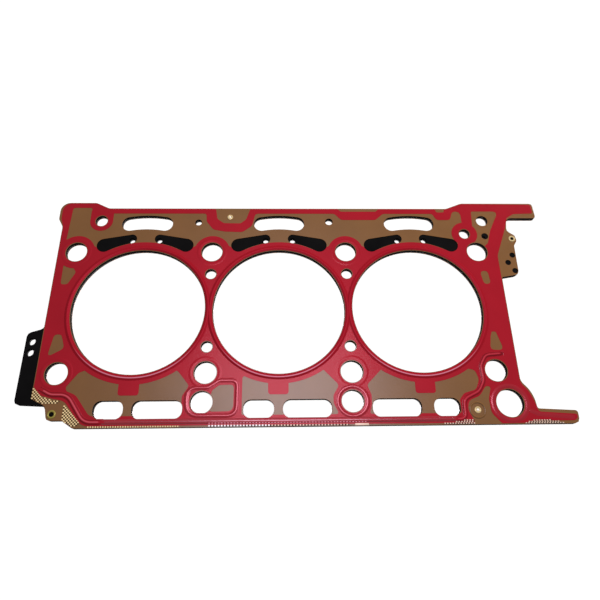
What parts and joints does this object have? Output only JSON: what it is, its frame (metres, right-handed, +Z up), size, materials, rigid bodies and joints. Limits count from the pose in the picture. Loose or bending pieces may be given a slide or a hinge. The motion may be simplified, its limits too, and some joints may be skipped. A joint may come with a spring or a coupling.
{
  "type": "cylinder head gasket",
  "caption": "Layered steel cylinder head gasket for one bank of a V engine: large bores, coolant slots, bolt holes, red sealing print and raised beads.",
  "frame": {"origin": "axis of the centre bore, at the underside that rests on the engine block", "axes": "+X along the row of bores towards the two arms, +Y towards the arched coolant slots, +Z up towards the cylinder head"},
  "size_m": [0.3378, 0.1539, 0.0023],
  "materials": {
    "carrier": "matt black coated steel",
    "sheet": "bronze-brown coated spring steel, satin",
    "print": "crimson elastomer print, satin",
    "eyelet": "bright rolled brass"
  },
  "bodies": {
    "root": {"carrier_plate": "carrier", "top_sheet": "sheet", "red_coat": "print", "layer_eyelets": "eyelet"}
  },
  "joints": []
}
